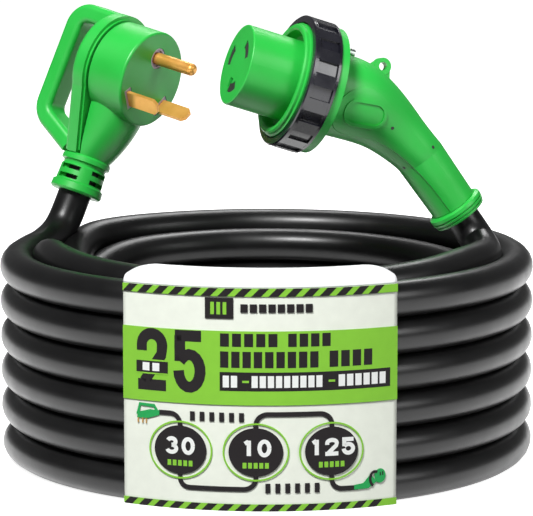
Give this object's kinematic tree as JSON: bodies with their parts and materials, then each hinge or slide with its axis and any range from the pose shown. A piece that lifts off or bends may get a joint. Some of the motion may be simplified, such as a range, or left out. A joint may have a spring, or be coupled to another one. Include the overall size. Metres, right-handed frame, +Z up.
{
  "type": "shore power cord",
  "caption": "Coiled power extension cord with a blade plug on a D handle and an elbow locking connector with a turning ring.",
  "frame": {"origin": "on the floor, on the axis of the standing coil", "axes": "+Z up along the coil's axis, +X to the right with the label facing the viewer, +Y away from the label"},
  "size_m": [0.258, 0.2591, 0.2145],
  "materials": {
    "green_shell": "moulded, semi-gloss",
    "black_ring": "moulded, glossy",
    "pin_carrier": "moulded, matte",
    "brass": "polished",
    "jacket": "satin",
    "wire_green": "satin",
    "wire_black": "satin",
    "wire_white": "satin",
    "seal": "matte",
    "stud": "plated",
    "card": "printed, coated"
  },
  "bodies": {
    "cord": {"plug_body": "green_shell", "plug_rear_cover": "green_shell", "plug_insulator": "pin_carrier", "ground_pin": "brass", "hot_blade": "brass", "neutral_blade": "brass", "plug_crimps": "brass", "plug_conductor_ground": "wire_green", "plug_conductor_hot": "wire_black", "plug_conductor_neutral": "wire_white", "plug_strain_relief": "green_shell", "connector_body": "green_shell", "connector_face": "green_shell", "face_dish": "green_shell", "ring_gasket": "seal", "ring_stop": "pin_carrier", "index_stud": "stud", "connector_contact_ground": "brass", "connector_contact_hot": "brass", "connector_contact_neutral": "brass", "connector_crimps": "brass", "connector_conductor_ground": "wire_green", "connector_conductor_hot": "wire_black", "connector_conductor_neutral": "wire_white", "connector_end_collar": "green_shell", "cord_coil": "jacket", "plug_lead": "jacket", "connector_lead": "jacket", "label_sleeve": "card"},
    "ring": {"lock_ring": "black_ring"}
  },
  "joints": [
    {"name": "ring_turn", "type": "hinge", "parent": "cord", "child": "ring", "pos_m": [0.01604, -0.01197, 0.18173], "axis": [-0.9054, -0.2901, 0.3101], "continuous": true}
  ]
}
